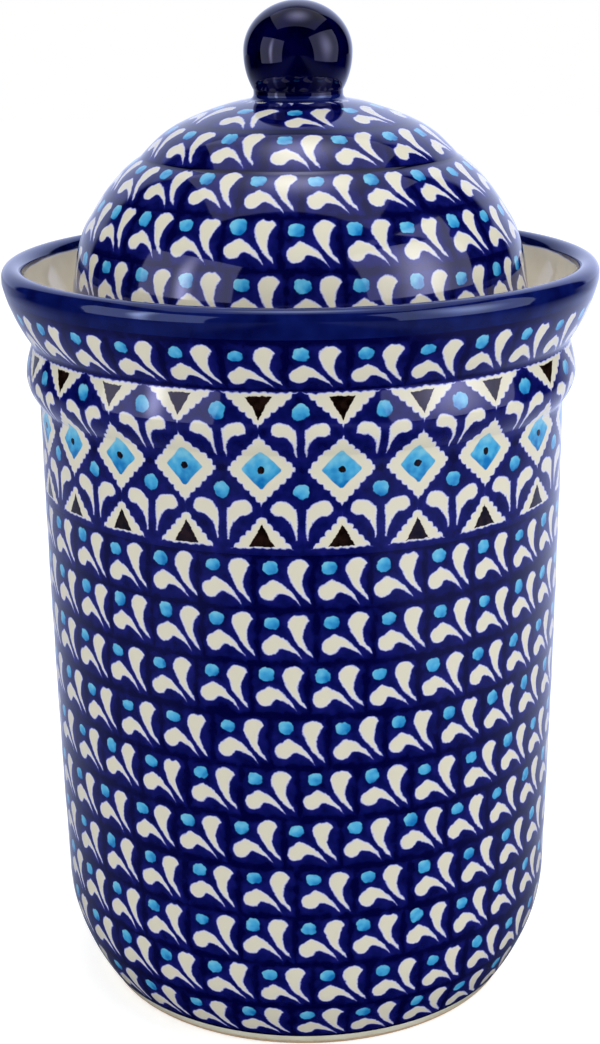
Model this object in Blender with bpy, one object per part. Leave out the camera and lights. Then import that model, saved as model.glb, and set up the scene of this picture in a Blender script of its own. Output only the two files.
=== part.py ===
"""Stoneware kitchen canister with a domed lid.

Three turned pieces share the Z axis: the jar, the lid that drops into the gallery inside its mouth, and
the ball knob that is luted onto the crown of the lid. The origin is the middle of the foot, on the table,
and +Z is up. Each piece is a section in the XZ plane, spun once round Z by a Screw modifier.

A section is a list of (radius, height) points that starts and ends on the axis and runs down the outer
side of its wall, so that the spun faces point outwards.
"""

import math

import bpy

MM = 0.001

# How finely the round forms are cut. Both numbers divide by four, so a piece is as wide in X as in Y.
BODY_SEGMENTS = 56
KNOB_SEGMENTS = 40

# The jar. Heights are measured up from the table and radii from the axis.
JAR_HEIGHT = 219.0 * MM
BODY_RADIUS = 76.2 * MM  # outside of the wall, just under the ring band
WALL_DRAFT = 2.1 * MM  # the wall leans out by this much from its foot to the band
WALL = 6.0 * MM
FLOOR = 7.0 * MM

# The foot and the tucked-in base curve above it.
BASE_HEIGHT = 33.0 * MM
BASE_TUCK = 11.2 * MM  # how far the base curve draws in from the wall
FOOT_WIDTH = 6.0 * MM
FOOT_RECESS = 2.0 * MM
FOOT_ROUND = 0.8 * MM
FLOOR_FILLET_WIDTH = 19.0 * MM
FLOOR_FILLET_HEIGHT = 28.0 * MM

# The ring band and the flared lip, which meet at a crease.
BAND_HEIGHT = 19.1 * MM
BAND_RELIEF = 3.0 * MM  # the band stands out from the wall by this much
CREASE_RELIEF = 1.5 * MM  # and the crease above it by this much
FLARE_HEIGHT = 22.0 * MM  # from the crease to the top of the lip
FLARE_REACH = 7.6 * MM  # from the crease out to the widest part of the lip
LIP_THICKNESS = 6.2 * MM
LIP_FACE = 4.7 * MM  # the upright outer face of the lip, measured from its top

# The gallery, a ledge inside the mouth that carries the lid.
LEDGE_DROP = 23.0 * MM  # from the top of the lip down to the ledge
LEDGE_WIDTH = 11.5 * MM
LEDGE_THICKNESS = 8.0 * MM
LEDGE_ROUND = 1.2 * MM
GALLERY_WALL = 5.7 * MM  # of the mouth, where it meets the ledge
GALLERY_FILLET = 1.5 * MM
UNDERCUT_HEIGHT = 13.0 * MM  # the sloping underside of the ledge

# The lid: a domed shell on a short skirt, with a collar that drops into the throat of the jar.
SEAT_GAP = 0.3 * MM
SEAT_WIDTH = 5.1 * MM  # how far the lid reaches over the ledge
SKIRT_HEIGHT = 8.7 * MM
SKIRT_ROUND = 1.2 * MM
DOME_RISE = 58.3 * MM  # from the skirt to the fillet round the knob's neck
LID_WALL = 5.5 * MM
COLLAR_CLEARANCE = 1.0 * MM
COLLAR_DEPTH = 12.0 * MM
COLLAR_WALL = 4.8 * MM
COLLAR_ROUND = 1.5 * MM

# The knob, luted onto the crown of the dome.
KNOB_RADIUS = 15.3 * MM
KNOB_CROWN = 14.0 * MM  # from its widest part up to its top
KNOB_BELLY = 18.2 * MM  # the half height that its lower part is drawn with
NECK_INSET = 2.7 * MM  # the neck is slimmer than the ball by this much all round
NECK_HEIGHT = 0.8 * MM
NECK_FILLET = 1.5 * MM
LUTING_GAP = 0.3 * MM

# Where the handles of each curve lie, as shares across and up the box between its two ends.
BASE_CURVE_SHARES = ((0.0, 0.38), (0.40, 0.70))
FLOOR_FILLET_SHARES = ((0.62, 0.0), (1.0, 0.40))
UNDERCUT_SHARES = ((0.0, 0.45), (0.55, 0.90))
MOUTH_SHARES = ((0.28, 0.38), (0.86, 0.62))
FLARE_SHARES = ((0.13, 0.30), (0.55, 0.72))
BAND_TOP_SHARES = ((0.0, 0.35), (0.70, 0.75))
BAND_FOOT_SHARES = ((0.75, 0.02), (1.0, 0.45))
COLLAR_SWEEP_SHARES = ((0.0, 0.45), (0.80, 0.60))

# How far up the band its crest is, as a share of the band's height.
BAND_CREST_SHARE = 0.50

# The four throwing tiers of the dome. Each ends at a crease, given as shares across from the skirt to the
# neck and up the dome, and swells out between its creases as its two handles say.
TIER_SHARES = (
    ((0.118, 0.455), ((0.0, 0.40), (0.25, 0.85))),
    ((0.400, 0.734), ((0.17, 0.37), (0.57, 0.78))),
    ((0.630, 0.895), ((0.27, 0.40), (0.62, 0.80))),
    ((1.0, 1.0), ((0.32, 0.48), (0.72, 0.87))),
)

# How many steps each kind of stretch is cut into.
CURVE_STEPS = 7
SHORT_CURVE_STEPS = 5
ROUND_STEPS = 3
LIP_STEPS = 6
INNER_DOME_STEPS = 12
KNOB_STEPS = 8

# Linear colour, roughness and metallic value of each piece's glaze.
COBALT_AND_CREAM = ((0.045, 0.06, 0.30, 1.0), 0.08, 0.0)
COBALT = ((0.004, 0.005, 0.09, 1.0), 0.06, 0.0)

# Points of a section closer together than this are one point.
MERGE = 0.001 * MM

# Levels and radii that more than one piece goes by.
RECESS_RADIUS = BODY_RADIUS - WALL_DRAFT - BASE_TUCK - FOOT_WIDTH
CREASE_RADIUS = BODY_RADIUS + CREASE_RELIEF
CREASE_LEVEL = JAR_HEIGHT - FLARE_HEIGHT
LEDGE_LEVEL = JAR_HEIGHT - LEDGE_DROP
MOUTH_RADIUS = CREASE_RADIUS - GALLERY_WALL
THROAT_RADIUS = MOUTH_RADIUS - LEDGE_WIDTH
SEAT_LEVEL = LEDGE_LEVEL + SEAT_GAP
LID_RADIUS = THROAT_RADIUS + SEAT_WIDTH
DOME_LEVEL = SEAT_LEVEL + SKIRT_HEIGHT
NECK_RADIUS = KNOB_RADIUS - NECK_INSET
CROWN_LEVEL = DOME_LEVEL + DOME_RISE + NECK_FILLET


def curve(start, end, shares, steps=CURVE_STEPS):
    """A cubic curve from start to end, whose handles lie at shares of the box between them."""
    reach = (end[0] - start[0], end[1] - start[1])
    first, second = [tuple(start[i] + share[i] * reach[i] for i in (0, 1)) for share in shares]
    points = []
    for step in range(steps + 1):
        t = step / steps
        weights = ((1 - t) ** 3, 3 * t * (1 - t) ** 2, 3 * t * t * (1 - t), t**3)
        corners = (start, first, second, end)
        points.append(tuple(sum(w * c[i] for w, c in zip(weights, corners)) for i in (0, 1)))
    return points


def arc(centre, across, up, start, end, steps=ROUND_STEPS):
    """Part of an ellipse about centre, from the angle start to the angle end in degrees, 0 pointing out."""
    turns = [math.radians(start + (end - start) * step / steps) for step in range(steps + 1)]
    return [(centre[0] + across * math.cos(turn), centre[1] + up * math.sin(turn)) for turn in turns]


def joined(*stretches):
    """One list of points from several, where a stretch that starts on the last point doesn't repeat it."""
    points = []
    for point in (point for stretch in stretches for point in stretch):
        if not points or math.dist(points[-1], point) > MERGE:
            points.append(point)
    return points


def glaze(name, look):
    """A glossy material from a colour, a roughness and a metallic value."""
    colour, roughness, metallic = look
    material = bpy.data.materials.new(name)
    material.use_nodes = True
    shader = material.node_tree.nodes["Principled BSDF"]
    shader.inputs["Base Color"].default_value = colour
    shader.inputs["Roughness"].default_value = roughness
    shader.inputs["Metallic"].default_value = metallic
    material.diffuse_color = colour
    return material


def turned(name, section, segments, look):
    """A solid made by turning a section once round Z."""
    edges = [(point, point + 1) for point in range(len(section) - 1)]
    mesh = bpy.data.meshes.new(name)
    mesh.from_pydata([(radius, 0, height) for radius, height in section], edges, [])
    piece = bpy.data.objects.new(name, mesh)
    bpy.context.scene.collection.objects.link(piece)
    spin = piece.modifiers.new("Turn", "SCREW")
    spin.axis = "Z"
    spin.angle = math.tau
    spin.steps = segments
    spin.render_steps = segments
    spin.use_merge_vertices = True
    spin.merge_threshold = MERGE
    spin.use_smooth_shade = True
    mesh.materials.append(glaze(name + "_glaze", look))
    return piece


def jar_section():
    """From the middle of the inside floor, up the inside, over the lip and down the outside to the foot."""
    floor_level = FOOT_RECESS + FLOOR
    wall_foot = (BODY_RADIUS - WALL_DRAFT, BASE_HEIGHT)
    band_foot = (BODY_RADIUS, CREASE_LEVEL - BAND_HEIGHT)
    band_crest = (BODY_RADIUS + BAND_RELIEF, CREASE_LEVEL - BAND_HEIGHT * (1 - BAND_CREST_SHARE))
    crease = (CREASE_RADIUS, CREASE_LEVEL)
    foot_radius = wall_foot[0] - BASE_TUCK

    inner_foot = (wall_foot[0] - WALL, floor_level + FLOOR_FILLET_HEIGHT)
    fillet_foot = (inner_foot[0] - FLOOR_FILLET_WIDTH, floor_level)
    ledge_foot = (THROAT_RADIUS, LEDGE_LEVEL - LEDGE_THICKNESS)
    undercut_foot = (BODY_RADIUS - WALL, ledge_foot[1] - UNDERCUT_HEIGHT)
    floor = joined([(0, floor_level)], curve(fillet_foot, inner_foot, FLOOR_FILLET_SHARES))
    throat = curve(undercut_foot, ledge_foot, UNDERCUT_SHARES, SHORT_CURVE_STEPS)
    ledge_edge = arc(
        (THROAT_RADIUS + LEDGE_ROUND, LEDGE_LEVEL - LEDGE_ROUND), LEDGE_ROUND, LEDGE_ROUND, 180, 90
    )
    ledge_root = arc(
        (MOUTH_RADIUS - GALLERY_FILLET, LEDGE_LEVEL + GALLERY_FILLET), GALLERY_FILLET, GALLERY_FILLET, -90, 0
    )

    bead = LIP_THICKNESS / 2
    bead_centre = (CREASE_RADIUS + FLARE_REACH - bead, JAR_HEIGHT - bead)
    mouth = curve(ledge_root[-1], (bead_centre[0] - bead, bead_centre[1]), MOUTH_SHARES)
    lip = arc(bead_centre, bead, bead, 180, 0, LIP_STEPS)
    flare = curve((CREASE_RADIUS + FLARE_REACH, JAR_HEIGHT - LIP_FACE), crease, FLARE_SHARES)
    band_top = curve(band_crest, crease, BAND_TOP_SHARES, SHORT_CURVE_STEPS)[::-1]
    band_bottom = curve(band_foot, band_crest, BAND_FOOT_SHARES, SHORT_CURVE_STEPS)[::-1]

    base = curve(wall_foot, (foot_radius, FOOT_ROUND), BASE_CURVE_SHARES)
    foot_edge = arc((foot_radius - FOOT_ROUND, FOOT_ROUND), FOOT_ROUND, FOOT_ROUND, 0, -90)
    recess = [(RECESS_RADIUS, 0), (RECESS_RADIUS - FOOT_RECESS, FOOT_RECESS), (0, FOOT_RECESS)]
    return joined(
        floor, throat, ledge_edge, ledge_root, mouth, lip, flare, band_top, band_bottom, base, foot_edge, recess
    )


def dome_outside():
    """The tiered dome, from the skirt up to the fillet round the neck."""
    skirt = (LID_RADIUS, DOME_LEVEL)
    reach = (NECK_RADIUS + NECK_FILLET - LID_RADIUS, DOME_RISE)
    points = [skirt]
    for crease_shares, handle_shares in TIER_SHARES:
        crease = tuple(skirt[i] + crease_shares[i] * reach[i] for i in (0, 1))
        points = joined(points, curve(points[-1], crease, handle_shares, SHORT_CURVE_STEPS))
    return points


def lid_section():
    """From the crown, down over the dome to the seat, round the collar and up the inside to the axis."""
    inner_radius = LID_RADIUS - LID_WALL
    inner_rise = DOME_RISE - LID_WALL
    collar_radius = THROAT_RADIUS - COLLAR_CLEARANCE
    collar_foot = SEAT_LEVEL - COLLAR_DEPTH
    collar_bore = collar_radius - COLLAR_WALL

    neck = arc((NECK_RADIUS + NECK_FILLET, CROWN_LEVEL), NECK_FILLET, NECK_FILLET, 180, 270)
    skirt_edge = arc(
        (LID_RADIUS - SKIRT_ROUND, SEAT_LEVEL + SKIRT_ROUND), SKIRT_ROUND, SKIRT_ROUND, 0, -90
    )
    collar_end = arc(
        (collar_radius - COLLAR_ROUND, collar_foot + COLLAR_ROUND), COLLAR_ROUND, COLLAR_ROUND, 0, -90
    )
    collar_inside = arc(
        (collar_bore + COLLAR_ROUND, collar_foot + COLLAR_ROUND), COLLAR_ROUND, COLLAR_ROUND, -90, -180
    )
    sweep_foot = (collar_bore, SEAT_LEVEL - COLLAR_ROUND)
    sweep = curve(sweep_foot, (inner_radius, DOME_LEVEL), COLLAR_SWEEP_SHARES, SHORT_CURVE_STEPS)
    inner_dome = arc((0, DOME_LEVEL), inner_radius, inner_rise, 0, 90, INNER_DOME_STEPS)
    inner_dome[-1] = (0, DOME_LEVEL + inner_rise)
    return joined(
        [(0, CROWN_LEVEL)],
        neck,
        dome_outside()[::-1],
        skirt_edge,
        [(collar_radius, SEAT_LEVEL)],
        collar_end,
        collar_inside,
        sweep,
        inner_dome,
    )


def knob_section():
    """From the top of the ball, round its widest part, into the neck and across the luted face."""
    luting_level = CROWN_LEVEL + LUTING_GAP
    neck_top = luting_level + NECK_HEIGHT
    neck_turn = math.degrees(math.acos(NECK_RADIUS / KNOB_RADIUS))
    centre = (0, neck_top + KNOB_BELLY * math.sin(math.radians(neck_turn)))
    crown = arc(centre, KNOB_RADIUS, KNOB_CROWN, 90, 0, KNOB_STEPS)
    crown[0] = (0, centre[1] + KNOB_CROWN)
    belly = arc(centre, KNOB_RADIUS, KNOB_BELLY, 0, -neck_turn, SHORT_CURVE_STEPS)
    return joined(crown, belly, [(NECK_RADIUS, luting_level), (0, luting_level)])


def build():
    """Clears the scene and makes the three pieces."""
    for leftover in list(bpy.data.objects):
        bpy.data.objects.remove(leftover)
    turned("jar", jar_section(), BODY_SEGMENTS, COBALT_AND_CREAM)
    lid = turned("lid", lid_section(), BODY_SEGMENTS, COBALT_AND_CREAM)
    knob = turned("knob", knob_section(), KNOB_SEGMENTS, COBALT)
    knob.parent = lid


build()
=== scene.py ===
"""The looks of a lidded stoneware canister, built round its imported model.

The pot is thrown in stoneware and comes in three pieces: a jar, a domed lid and a ball knob. Rows of small
sponge stamps, a dot and two leaves each, leave the white ground bare in brushed cobalt, a belt of diamonds
rings the shoulder, and a clear glaze covers it all. Each piece is one turned surface, parted in belts.

Sizes of the pot are in millimetres, and MM turns them to metres. +Z is up, and the front faces -Y.
"""

import logging
import math
from collections.abc import Mapping, Sequence
from dataclasses import dataclass, field
from enum import Enum
from functools import reduce

import bpy
import numpy as np
from mathutils import Matrix, Vector


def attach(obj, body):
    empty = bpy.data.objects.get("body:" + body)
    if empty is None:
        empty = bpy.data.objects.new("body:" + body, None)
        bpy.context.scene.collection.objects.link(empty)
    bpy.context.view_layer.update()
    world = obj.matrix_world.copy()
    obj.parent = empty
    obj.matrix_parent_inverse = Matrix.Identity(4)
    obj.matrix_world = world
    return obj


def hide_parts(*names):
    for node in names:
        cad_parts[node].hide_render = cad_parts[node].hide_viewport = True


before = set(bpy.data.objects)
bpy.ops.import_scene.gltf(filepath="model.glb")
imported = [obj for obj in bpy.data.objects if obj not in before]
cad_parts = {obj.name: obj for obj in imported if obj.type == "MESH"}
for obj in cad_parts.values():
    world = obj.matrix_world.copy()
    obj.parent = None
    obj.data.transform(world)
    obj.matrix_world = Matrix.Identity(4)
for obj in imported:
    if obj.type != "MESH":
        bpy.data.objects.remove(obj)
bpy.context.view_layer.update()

MM = 0.001
IMAGE_HEIGHT = 1044  # pixels of the frame's longer side, which the camera's sensor spans

log = logging.getLogger("canister")

Point = tuple[float, float]
Triple = tuple[float, float, float]
Stops = Sequence[tuple[float, str]]
Material = bpy.types.Material
Socket = bpy.types.NodeSocket
Source = Socket | float | Sequence[float]

# The property that the choice after the dot in a node's kind is for.
CHOICES = {
    "Math": "operation",
    "VectorMath": "operation",
    "MapRange": "interpolation_type",
    "Mix": "data_type",
    "VectorRotate": "rotation_type",
    "TexWhiteNoise": "noise_dimensions",
    "Attribute": "attribute_name",
}


def linear(code: str) -> tuple[float, float, float, float]:
    """Turns an sRGB colour to the linear numbers that shaders take.

    Args:
        code: Six hexadecimal digits, two each for red, green and blue.

    Returns:
        Linear red, green and blue, and an alpha of one.
    """
    parts = np.array([int(code[place:place + 2], 16) for place in (0, 2, 4)]) / 255
    curved = np.where(parts <= 0.04045, parts / 12.92, ((parts + 0.055) / 1.055) ** 2.4)
    return (*curved.tolist(), 1.0)


class Nodes:
    """The nodes of a material, a lamp or the world."""

    def __init__(self, owner: Material | bpy.types.Light | bpy.types.World) -> None:
        """Takes the owner's nodes and clears them.

        Args:
            owner: The material, lamp or world.
        """
        owner.use_nodes = True
        self.tree = owner.node_tree
        self.tree.nodes.clear()

    def add(
        self,
        kind: str,
        sources: Mapping[str, Source] | Sequence[Source] = (),
        output: str | int | None = None,
        stops: Stops = (),
        **settings: object,
    ) -> Socket | None:
        """Adds one node with its settings and links.

        Args:
            kind: The node's type, without the word ShaderNode, and after a dot its choice.
            sources: What its inputs take, by name or in the order of those in use. A socket is linked, and a
                value is set.
            output: The output that is wanted, if that isn't the first in use.
            stops: Places and colours of a colour ramp.
            settings: Other properties of the node.

        Returns:
            The wanted output, or None from a node that has none.
        """
        kind, _, choice = kind.partition(".")
        node = self.tree.nodes.new("ShaderNode" + kind)
        if choice:
            settings[CHOICES[kind]] = choice
        for name, value in settings.items():
            setattr(node, name, value)
        if isinstance(sources, Mapping):
            fed = [(node.inputs[name], source) for name, source in sources.items()]
        else:
            fed = zip([socket for socket in node.inputs if socket.enabled], sources)
        for socket, source in fed:
            if isinstance(source, Socket):
                self.tree.links.new(source, socket)
            else:
                socket.default_value = source
        for number, (place, code) in enumerate(stops):
            elements = node.color_ramp.elements
            element = elements[number] if number < 2 else elements.new(place)
            element.position, element.color = place, linear(code)
        if output is not None:
            return node.outputs[output]
        return next((socket for socket in node.outputs if socket.enabled), None)

    def fold(self, kind: str, values: Sequence[Socket]) -> Socket:
        """Joins values one after another through nodes of one kind."""
        return reduce(lambda whole, other: self.add(kind, (whole, other)), values)


def placed(name: str, data: bpy.types.ID) -> bpy.types.Object:
    """Makes an object and links it to the scene."""
    made = bpy.data.objects.new(name, data)
    bpy.context.scene.collection.objects.link(made)
    return made


# Turned outlines


def length_along(points: np.ndarray) -> np.ndarray:
    """Gives the distance from the first point to each point, along the outline."""
    return np.concatenate([[0.0], np.cumsum(np.linalg.norm(np.diff(points, axis=0), axis=1))])


def line(start: Point, end: Point, spacing: float) -> np.ndarray:
    """Gives evenly spaced points of the straight run from start to end, about spacing apart."""
    steps = max(1, math.ceil(math.dist(start, end) / spacing))
    return np.linspace(start, end, steps + 1)


def curve(start: Point, end: Point, shares: Sequence[Point], spacing: float) -> np.ndarray:
    """Gives a cubic curve: the sum of its ends and handles, weighted by the four cubic Bernstein terms.

    Args:
        start: First point, as radius and height.
        end: Last point.
        shares: Where the two handles lie, as shares across and up the box between the ends.
        spacing: About how far apart the points lie.

    Returns:
        The points, one in each row.
    """
    low, high = np.array(start), np.array(end)
    handles = low + np.array(shares) * (high - low)
    t = np.linspace(0, 1, max(6, math.ceil(math.dist(start, end) / spacing)) + 1)[:, None]
    leaving = (1 - t) ** 3 * low + 3 * t * (1 - t) ** 2 * handles[0]
    return leaving + 3 * t**2 * (1 - t) * handles[1] + t**3 * high


def arc(centre: Point, across: float, up: float, start: float, end: float, spacing: float) -> np.ndarray:
    """Gives part of an ellipse: centre plus (across cos a, up sin a) for angles a from start to end.

    Args:
        centre: Middle of the ellipse, as radius and height.
        across: Its half width.
        up: Its half height.
        start: First angle in degrees, 0 pointing away from the axis.
        end: Last angle.
        spacing: About how far apart the points lie.

    Returns:
        The points, one in each row.
    """
    reach = math.radians(abs(end - start)) * max(across, up)
    turns = np.radians(np.linspace(start, end, max(6, math.ceil(reach / spacing)) + 1))
    return np.stack([centre[0] + across * np.cos(turns), centre[1] + up * np.sin(turns)], 1)


def joined(*runs: np.ndarray) -> np.ndarray:
    """Joins runs end to end and leaves out points that repeat the one before."""
    points = np.concatenate(runs)
    apart = np.linalg.norm(np.diff(points, axis=0), axis=1) > 1e-4
    return points[np.concatenate([[True], apart])]


class Finish(Enum):
    """The finishes of the pot, in the order of a piece's material slots."""

    STAMPED = 0
    DIAMONDS = 1
    COBALT = 2
    CLEAR = 3
    BARE = 4
    DIPPED = 5
    FOOT = 6


CELL_SHARE = 0.25  # a stamp's cell reaches this share of its width to the left of its dot
CELL_WIDTH = 16  # about how wide a stamp is
ROW_STEP = 15.1  # from one row of dots to the next
ROW_TOP = 3.4  # a row reaches this far above its dots
DRIFT_START = math.radians(25)  # where a belt's stamps start to drift, to the right of the front
BELT_COUNT = 100  # the stamps of each belt are counted on from the next such number
SHARP = math.radians(50)  # edges that turn by more than this look sharp
FAR = 1000.0  # a line this far away is out of reach of its belt


@dataclass(frozen=True)
class Belt:
    """A belt of one finish round the pot, from where the last belt ended.

    Attributes:
        end: Where it ends, as a distance along the outline.
        finish: Its finish.
        line: The distance along the outline that its pattern is measured from, or the height if upright.
        count: How many stamps go round it.
        turn: Degrees from the front to the first stamp.
        upright: Whether its pattern is measured straight up, as a printer's eye does it across a step.
        lean: How far its line sinks on the right and rises on the left.
        drift: Degrees that wider spacing has moved its stamps on by the back right.
    """

    end: float
    finish: Finish
    line: float = 0.0
    count: int = 1
    turn: float = 0.0
    upright: bool = False
    lean: float = 0.0
    drift: float = 0.0


@dataclass(frozen=True)
class Ripple:
    """The faint rings and turns that a thrower's fingers leave, which take a little off the outside.

    Attributes:
        depth: The most that it takes off.
        low: Height under which it fades out.
        high: Height over which it fades out.
        fade: How far the fading takes.
    """

    depth: float
    low: float
    high: float
    fade: float = 9.0

    def taken(self, turn: np.ndarray, height: np.ndarray, radius: np.ndarray) -> np.ndarray:
        """Works out how much the surface draws in: slow waves up the wall that wander with the turn.

        Args:
            turn: Angle round the axis, in radians.
            height: Height of each point.
            radius: Radius of each point.

        Returns:
            What each radius loses, never less than nothing.
        """
        slant = height + 0.55 * (80 - radius)
        waves = (
            0.42 * np.sin(slant / 2.35 + 1.0 * turn)
            + 0.33 * np.sin(slant / 4.9 - 2.0 * turn + 1.3)
            + 0.25 * np.sin(slant / 9.7 + 3.0 * turn + 2.1)
        )
        inside = np.clip(np.minimum(height - self.low, self.high - height) / self.fade, 0, 1)
        return self.depth * (0.5 + 0.5 * waves) * inside


@dataclass(frozen=True)
class Turning:
    """A closed surface turned round Z from an outline that runs up the outside of the wall.

    Attributes:
        name: The piece's name.
        outline: Radius and height of each point, from the axis and back to it.
        belts: The belts in order along the outline.
        segments: How many columns go round.
        outside: The stretch of the outline that the ripple works on.
        ripple: The ripple, or None on a smooth piece.
    """

    name: str
    outline: np.ndarray
    belts: Sequence[Belt]
    segments: int
    outside: Point = (0.0, 0.0)
    ripple: Ripple | None = None

    def rings(self) -> tuple[np.ndarray, np.ndarray]:
        """Gives the rings of the surface: the outline's own points and one more at the end of each belt.

        Returns:
            The distance of each ring along the outline, and its radius and height.
        """
        along = length_along(self.outline)
        ends = np.array([belt.end for belt in self.belts if belt.end < along[-1]])
        near = np.abs(along[1:-1, None] - ends[None, :]).min(axis=1, initial=1.0) < 0.05
        places = np.sort(np.concatenate([along[:1], along[1:-1][~near], along[-1:], ends]))
        return places, np.stack([np.interp(places, along, self.outline[:, axis]) for axis in (0, 1)], 1)

    def turns(self) -> np.ndarray:
        """Gives each column's angle in radians, from the back round by the left, the last on the first."""
        return np.linspace(-math.pi, math.pi, self.segments + 1)

    def points(self, places: np.ndarray, rings: np.ndarray) -> np.ndarray:
        """Turns the rings: a point lies at (r sin a, -r cos a, z), where the ripple is taken off r.

        Args:
            places: Distance of each ring along the outline.
            rings: Radius and height of each ring.

        Returns:
            Every vertex in metres: the first pole, the rings and the last pole.
        """
        turn = self.turns()[None, :-1]
        radius, height = np.repeat(rings[1:-1].T[:, :, None], self.segments, 2)
        if self.ripple:
            worked = (places[1:-1] > self.outside[0]) & (places[1:-1] < self.outside[1])
            radius = radius - worked[:, None] * self.ripple.taken(turn, height, radius)
        body = np.stack([radius * np.sin(turn), -radius * np.cos(turn), height], 2).reshape(-1, 3)
        poles = np.array([[0, 0, rings[0, 1]], [0, 0, rings[-1, 1]]])
        return np.concatenate([poles[:1], body, poles[1:]]) * MM

    def corners(self, count: int) -> tuple[np.ndarray, np.ndarray]:
        """Gives the vertex of each face corner, with fans at the poles and quads between.

        Args:
            count: How many rings there are, the poles with them.

        Returns:
            The vertices of the corners, and the first corner of each face.
        """
        column = np.arange(self.segments)
        beside = (column + 1) % self.segments
        row = 1 + np.arange(count - 3)[:, None] * self.segments
        above = row + self.segments
        top = 1 + (count - 3) * self.segments
        first = np.stack([np.zeros_like(column), 1 + beside, 1 + column], 1)
        quads = np.stack([row + column, row + beside, above + beside, above + column], 2)
        last = np.stack([top + column, top + beside, np.full_like(column, top + self.segments)], 1)
        sizes = np.repeat([3, 4, 3], [self.segments, quads[..., 0].size, self.segments])
        starts = np.concatenate([[0], np.cumsum(sizes)[:-1]])
        return np.concatenate([first.ravel(), quads.ravel(), last.ravel()]), starts

    def stamp_places(self, places: np.ndarray, rings: np.ndarray, belt_of: np.ndarray) -> np.ndarray:
        """Works out the stamp attribute of each corner of the quads.

        Its parts are the place among the belt's stamps, which is the angle over the angle of one stamp, the
        distance up from the belt's line, which sinks by its lean times the sine of the angle, and the width
        of a stamp. The stamps drift by the square of the sine of the angle past the start of the drift.

        Args:
            places: Distance of each ring along the outline.
            rings: Radius and height of each ring.
            belt_of: Number of the belt of each strip between two rings.

        Returns:
            Three numbers for each corner, quad by quad.
        """
        belt_lines, counts, turns, upright, lean, drift = (
            np.array([getattr(belt, name) for belt in self.belts], float)[belt_of]
            for name in ("line", "count", "turn", "upright", "lean", "drift")
        )
        drifted = turns[:, None] + drift[:, None] * np.maximum(0, np.sin(self.turns() - DRIFT_START)) ** 2
        across = (np.degrees(self.turns())[None, :] - drifted) * counts[:, None] / 360
        middles = 0.5 * (across[:, :-1] + across[:, 1:])
        lap = np.floor((middles + CELL_SHARE) / counts[:, None]) * counts[:, None]
        shift = BELT_COUNT * (belt_of[:, None] + 1)
        low = np.where(upright > 0, rings[:-1, 1], places[:-1])
        high = np.where(upright > 0, rings[1:, 1], places[1:])
        up = np.stack([low, high]) - belt_lines
        wide = np.stack([rings[:-1, 0], rings[1:, 0]]) * math.tau / counts
        sunk = lean[:, None] * np.sin(self.turns())
        corner = np.empty((*lap.shape, 4, 3))
        edges = ((across[:, :-1] - lap + shift, sunk[:, :-1]), (across[:, 1:] - lap + shift, sunk[:, 1:]))
        for number, (edge, level) in enumerate(((0, 0), (1, 0), (1, 1), (0, 1))):
            side, drop = edges[edge]
            corner[:, :, number, 0] = side
            corner[:, :, number, 1] = up[level][:, None] + drop
            corner[:, :, number, 2] = wide[level][:, None]
        return corner

    def build(self, materials: Sequence[Material]) -> bpy.types.Object:
        """Makes the piece's object.

        Args:
            materials: The finishes, in the order of Finish.

        Returns:
            The new object, at the origin.
        """
        places, rings = self.rings()
        middles = 0.5 * (places[:-1] + places[1:])
        belt_of = np.searchsorted([belt.end for belt in self.belts[:-1]], middles)
        slots = np.array([belt.finish.value for belt in self.belts])[belt_of]
        vertices = self.points(places, rings)
        corners, starts = self.corners(len(rings))
        fan = np.zeros((self.segments * 3, 3))
        stamps = np.concatenate([fan, self.stamp_places(places, rings, belt_of)[1:-1].reshape(-1, 3), fan])

        mesh = bpy.data.meshes.new(self.name)
        for part, key, values in (
            (mesh.vertices, "co", vertices),
            (mesh.loops, "vertex_index", corners),
            (mesh.polygons, "loop_start", starts),
        ):
            part.add(len(values))
            part.foreach_set(key, values.ravel())
        mesh.polygons.foreach_set("material_index", np.repeat(slots, self.segments))
        mesh.attributes.new("stamp", "FLOAT_VECTOR", "CORNER").data.foreach_set("vector", stamps.ravel())
        for material in materials:
            mesh.materials.append(material)
        mesh.update(calc_edges=True)
        mesh.shade_smooth()
        mesh.set_sharp_from_angle(angle=SHARP)
        return placed(self.name, mesh)


# The stamps and the glaze over them


@dataclass(frozen=True)
class Cutout:
    """A shape cut from sponge by arcs, measured across and up from its dot.

    Attributes:
        parts: The parts that it joins, each what its discs have in common. A disc is how far its middle lies
            across and up, and its radius, which is below nothing for what lies outside it.
        blend: Millimetres over which a part flows into the next.
    """

    parts: Sequence[Sequence[Triple]]
    blend: float = 0.8


UPRIGHT_BACK, UPRIGHT_HOLLOW = (19.3, 2.9, 15.2), (14.6, -3.75, -6.25)
UPRIGHT_LEAF = Cutout(
    (
        ((7.4, -0.5, 3.0), UPRIGHT_HOLLOW),
        ((8.2, -3.6, 3.3), UPRIGHT_BACK, UPRIGHT_HOLLOW),
        ((1.6, -11.4, 9.2), UPRIGHT_BACK, UPRIGHT_HOLLOW),
    ),
    0.5,
)
LYING_BACK = (-4.23, -15.6, 13.35)
LYING_LEAF = Cutout(
    (
        ((-0.5, -6.75, 2.35),),
        ((1.5, -5.9, 2.75), LYING_BACK, (3.1, -9.4, -2.4)),
        ((5.0, -7.9, 4.1), LYING_BACK, (-1.65, -19.7, -13.6)),
    )
)
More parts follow.
